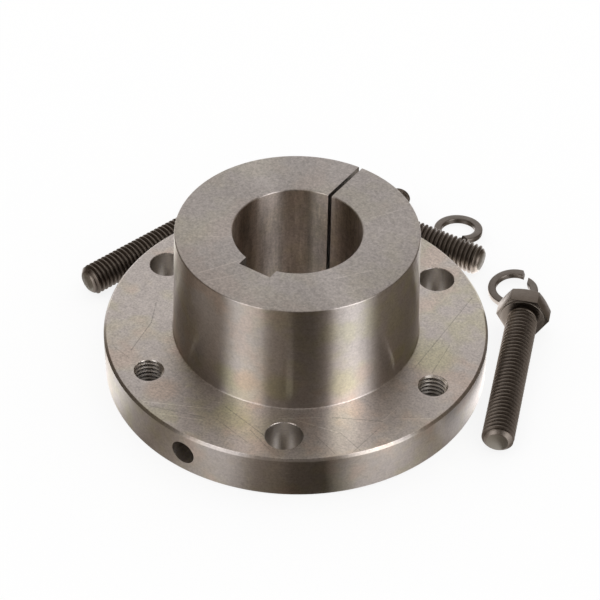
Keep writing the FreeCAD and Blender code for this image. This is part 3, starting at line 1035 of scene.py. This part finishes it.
class BUSHING_OT_lock_washers(bpy.types.Operator):
    """Model the three split lock washers"""

    bl_idname = "bushing.lock_washers"
    bl_label = "Lock washers"

    def coil(self, f, first, last):
        """Half of the left-hand coil, between two angles from its high end."""
        mean_r = (f.washer_inner_r + f.washer_outer_r) / 2
        bpy.ops.mesh.primitive_plane_add(size=1)
        half = named("coil")
        section = Matrix.Diagonal((f.washer_outer_r - f.washer_inner_r, 1, f.washer_height, 1))
        lift = f.washer_height / 2 + f.washer_rise * (360 - first) / 360
        upright = Matrix.Rotation(math.radians(90), 4, "X")
        place(half, Matrix.Translation((mean_r, 0, lift)) @ section @ upright)
        with editing(half, "VERT", "SELECT"):
            bpy.ops.mesh.bevel(
                offset=f.washer_edge, offset_type="OFFSET", segments=3, affect="VERTICES"
            )
            bpy.ops.mesh.select_all(action="SELECT")
            bpy.ops.mesh.delete(type="ONLY_FACE")
        offset = -f.washer_rise * (last - first) / 360
        angle = math.radians(last - first)
        sweep(half, round((last - first) / 3), angle=angle, screw_offset=offset)
        place(half, Matrix.Rotation(math.radians(first), 4, "Z"))
        return half

    def trim(self, f, half, side):
        """Cuts the end of a half along the washer's skewed gap, and closes it."""
        mean_r = (f.washer_inner_r + f.washer_outer_r) / 2
        turn = Matrix.Rotation(math.radians(GAP_TURN), 3, "Z")
        turn = turn @ Matrix.Rotation(math.radians(GAP_LEAN), 3, "X")
        normal = turn @ Vector((0, 1, 0))
        centre = Vector((mean_r, 0, (f.washer_rise + f.washer_height) / 2))
        with editing(half, "FACE"):
            pick(half, "faces", lambda p: p.calc_center_median().x > f.washer_inner_r / 2)
            bpy.ops.mesh.bisect(
                plane_co=centre + normal * side * f.washer_gap / 2,
                plane_no=normal,
                use_fill=True,
                clear_inner=side > 0,
                clear_outer=side < 0,
            )

    def washer(self, f):
        """One washer as it lies on the floor, its gap centred on +X."""
        overlap = 25
        halves = []
        for first, last, side in ((-overlap, 180, 1), (180, 360 + overlap, -1)):
            half = self.coil(f, first, last)
            self.trim(f, half, side)
            halves.append(half)
        washer = joined(halves, "washer")
        tidy_normals(washer, SAME_POINT_JOINED)
        tip_y = -math.atan2(f.washer_rise / 4, f.washer_outer_r)
        tip_x = -math.atan2(f.washer_rise / (2 * math.pi), f.washer_outer_r)
        place(washer, Matrix.Rotation(tip_x, 4, "X") @ Matrix.Rotation(tip_y, 4, "Y"))
        return washer

    def execute(self, context):
        f = context.scene.fastener_sizes
        steel = dark_phosphate(context.scene.steel_colours)
        model = self.washer(f)
        shaded(model, 35)
        for node, angle in zip(WASHER_NODES, WASHER_GAP_ANGLES):
            washer = copy_of(model, node + "_coil")
            place(washer, Matrix.Rotation(math.radians(angle), 4, "Z"))
            place_on(washer, node)
            finished(washer, (steel,), node)
        bpy.data.objects.remove(model)
        return {"FINISHED"}


class BUSHING_OT_set_screw(bpy.types.Operator):
    """Model the socket set screw"""

    bl_idname = "bushing.set_screw"
    bl_label = "Set screw"

    def execute(self, context):
        f = context.scene.fastener_sizes
        pitch, end = f.set_pitch, f.set_length
        root_r = f.set_r - THREAD_DEPTH * pitch
        name = "set_screw_threaded"
        screw = threaded_rod(name, f.set_r, root_r, pitch, -2 * pitch, end + 2 * pitch)
        wide_r, tip_r, chamfer = f.set_r + 0.02 * MM, f.set_r - f.set_chamfer, f.set_chamfer
        blank = [(tip_r, 0), (wide_r, chamfer), (wide_r, end - chamfer), (tip_r, end)]
        carve(screw, turned("set_blank", blank, HOLE_SEGMENTS), "INTERSECT")
        cup = [(f.cup_r * 1.4, -0.4 * f.cup_depth), (f.cup_r * 0.02, f.cup_depth)]
        carve(screw, turned("cup", cup, HOLE_SEGMENTS))
        bottom, depth = end - f.socket_depth, f.socket_depth + CUT
        carve(screw, hexagon("socket", f.socket_flats, bottom, depth))
        tidy_normals(screw, SAME_POINT_JOINED)
        shaded(screw)
        mark(screw, "crest", "POINT", lambda v: WORN_BARE)
        place(screw, lying(SET_SCREW_BEARING, 0.0))
        place_on(screw, "set_screw")
        steel = black_oxide(context.scene.steel_colours)
        finished(screw, (steel,), "set_screw")
        return {"FINISHED"}


class BUSHING_OT_stage(bpy.types.Operator):
    """Set up the floor, the world's light, the two lights for reflections and the camera"""

    bl_idname = "bushing.stage"
    bl_label = "Stage"

    def camera(self, context, g):
        """The camera at the photograph's viewing angle."""
        a, e = math.radians(g.azimuth), math.radians(g.elevation)
        back = Vector((math.sin(a) * math.cos(e), -math.cos(a) * math.cos(e), math.sin(e)))
        right = Vector((math.cos(a), math.sin(a), 0))
        up = back.cross(right)
        yaw, pitch, roll = math.radians(g.yaw), math.radians(g.pitch), math.radians(g.roll)
        aim = (
            right * math.sin(yaw) * math.cos(pitch)
            + up * math.sin(pitch)
            - back * math.cos(yaw) * math.cos(pitch)
        )
        side = aim.cross(up).normalized()
        top = side.cross(aim)
        c, n = math.cos(roll), math.sin(roll)
        side, top = side * c + top * n, top * c - side * n
        data = bpy.data.cameras.new("camera")
        data.lens = g.lens
        data.sensor_width = 36
        data.clip_start, data.clip_end = 0.01, 100
        camera = bpy.data.objects.new("camera", data)
        context.scene.collection.objects.link(camera)
        turn = Matrix((side, top, -aim)).transposed().to_4x4()
        camera.matrix_world = Matrix.Translation(back * g.distance) @ turn
        context.scene.camera = camera

    def floor(self):
        """Pale floor with the object's soft shadow, left out of reflections."""
        bpy.ops.mesh.primitive_plane_add(size=30, location=(0, 0, 0))
        floor = named("floor")
        material, s = new_material("pale_floor")
        diffuse = s.node("ShaderNodeBsdfDiffuse", {}, {"Color": (0.86, 0.86, 0.86, 1)})
        white = s.node("ShaderNodeEmission", {}, {"Color": (1, 1, 1, 1), "Strength": 1.0})
        share = s.seen_directly() * 0.85
        mixed = s.node("ShaderNodeMixShader", {}, {0: share, 1: diffuse, 2: white})
        s.node("ShaderNodeOutputMaterial", {}, {"Surface": mixed})
        floor.data.materials.append(material)
        floor.visible_glossy = False

    def world(self, context):
        """Plain light from all round, white behind the object."""
        world = bpy.data.worlds.new("studio")
        context.scene.world = world
        s = Shader(world)
        plain = s.node("ShaderNodeBackground", {}, {"Color": (1, 0.995, 0.99, 1), "Strength": 1.15})
        white = s.node("ShaderNodeBackground", {}, {"Color": (1, 1, 1, 1), "Strength": 1.0})
        mixed = s.node("ShaderNodeMixShader", {}, {0: s.seen_directly(), 1: plain, 2: white})
        s.node("ShaderNodeOutputWorld", {}, {"Surface": mixed})

    def round_about(self, s, side, levels):
        """Light by the angle round the object, warm where dim and neutral where bright."""
        stops = []
        for angle, level in levels:
            share = min(1.0, max(0.0, (level - DIM_LEVEL) / DIM_TO_NEUTRAL))
            tints = zip(WARM_LIGHT, NEUTRAL_LIGHT)
            colour = tuple(level / TENT_STRENGTH * (w + (n - w) * share) for w, n in tints)
            stops.append(((angle + 180) / 360, colour))
        return s.node("ShaderNodeValToRGB", {"stops": stops}, {0: side})

    def angle(self, s, g):
        """The angle round the object from the camera's side, from 0 to 1, and the height."""
        coordinates = s.node("ShaderNodeTexCoord", {}, {}, output="Object")
        turn = (0, 0, -math.radians(g.azimuth))
        turned_back = s.node("ShaderNodeMapping", {}, {"Vector": coordinates, "Rotation": turn})
        x, y, z = s.parts(turned_back)
        return x.math("ARCTAN2", x, 0 - y) / (2 * math.pi) + 0.5, z

    def glowing(self, obj, s, light):
        """Finishes a light that only reflections see."""
        glow = {"Emission_Color": light, "Emission_Strength": TENT_STRENGTH}
        s.surface(Base_Color=(0, 0, 0, 1), Specular_IOR_Level=0.0, **glow)
        for rays in ("camera", "diffuse", "shadow", "transmission"):
            setattr(obj, "visible_" + rays, False)

    def rim_light(self, g):
        """The pale floor close round the flange, as the rim reflects it."""
        inner, outer = 76.6 * MM, 96 * MM
        bpy.ops.mesh.primitive_circle_add(vertices=128, radius=inner, location=(0, 0, 0.05 * MM))
        card = named("rim_light")
        with editing(card, "EDGE", "SELECT"):
            bpy.ops.mesh.extrude_edges_move()
            widen(outer / inner)
        material, s = new_material("rim_light")
        card.data.materials.append(material)
        self.glowing(card, s, self.round_about(s, self.angle(s, g)[0], FLOOR_LIGHT))

    def tent(self, g):
        """Light tent that only reflections see, dark where the studio is dark."""
        bpy.ops.mesh.primitive_uv_sphere_add(segments=96, ring_count=48, radius=TENT_RADIUS)
        tent = named("light_tent")
        material, s = new_material("tent_cloth")
        tent.data.materials.append(material)
        side, height = self.angle(s, g)
        rise = height / TENT_RADIUS
        low = self.round_about(s, side, LOW_LIGHT)
        high = self.round_about(s, side, HIGH_LIGHT)
        top = tuple(TOP_LIGHT / TENT_STRENGTH * c for c in (1.0, 0.96, 0.93))
        light = s.blend(s.between(rise, -0.15, 0.12), low, high)
        light = s.blend(s.between(rise, 0.79, 0.87), light, self.round_about(s, side, UPPER_LIGHT))
        light = s.blend(s.between(rise, 0.95, 0.985), light, top)
        self.glowing(tent, s, light)

    def execute(self, context):
        g = context.scene.stage_settings
        context.scene.view_settings.view_transform = "Standard"
        self.camera(context, g)
        self.floor()
        self.world(context)
        self.tent(g)
        self.rim_light(g)
        deselect()
        return {"FINISHED"}


class BUSHING_PT_panel(bpy.types.Panel):
    """Lists the steps in the sidebar"""

    bl_idname = "BUSHING_PT_panel"
    bl_label = "Quick disconnect bushing"
    bl_space_type = "VIEW_3D"
    bl_region_type = "UI"
    bl_category = "Bushing"

    def draw(self, context):
        for operator in OPERATORS:
            self.layout.operator(operator.bl_idname)


OPERATORS = (
    BUSHING_OT_body,
    BUSHING_OT_cap_screws,
    BUSHING_OT_lock_washers,
    BUSHING_OT_set_screw,
    BUSHING_OT_stage,
)
GROUPS = {
    "bushing_sizes": BushingSizes,
    "fastener_sizes": FastenerSizes,
    "steel_colours": SteelColours,
    "stage_settings": StageSettings,
}


def register():
    """Makes the settings, the operators and the panel known to Blender."""
    for group in GROUPS.values():
        bpy.utils.register_class(group)
    for name, group in GROUPS.items():
        setattr(bpy.types.Scene, name, PointerProperty(type=group))
    for operator in OPERATORS:
        bpy.utils.register_class(operator)
    bpy.utils.register_class(BUSHING_PT_panel)


def unregister():
    """Takes them away again, in the opposite order."""
    bpy.utils.unregister_class(BUSHING_PT_panel)
    for operator in reversed(OPERATORS):
        bpy.utils.unregister_class(operator)
    for name in GROUPS:
        delattr(bpy.types.Scene, name)
    for group in reversed(list(GROUPS.values())):
        bpy.utils.unregister_class(group)


def main():
    """Models every piece and the stage."""
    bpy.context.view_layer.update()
    register()
    bpy.ops.bushing.body()
    bpy.ops.bushing.cap_screws()
    bpy.ops.bushing.lock_washers()
    bpy.ops.bushing.set_screw()
    bpy.ops.bushing.stage()


if __name__ == "__main__":
    main()
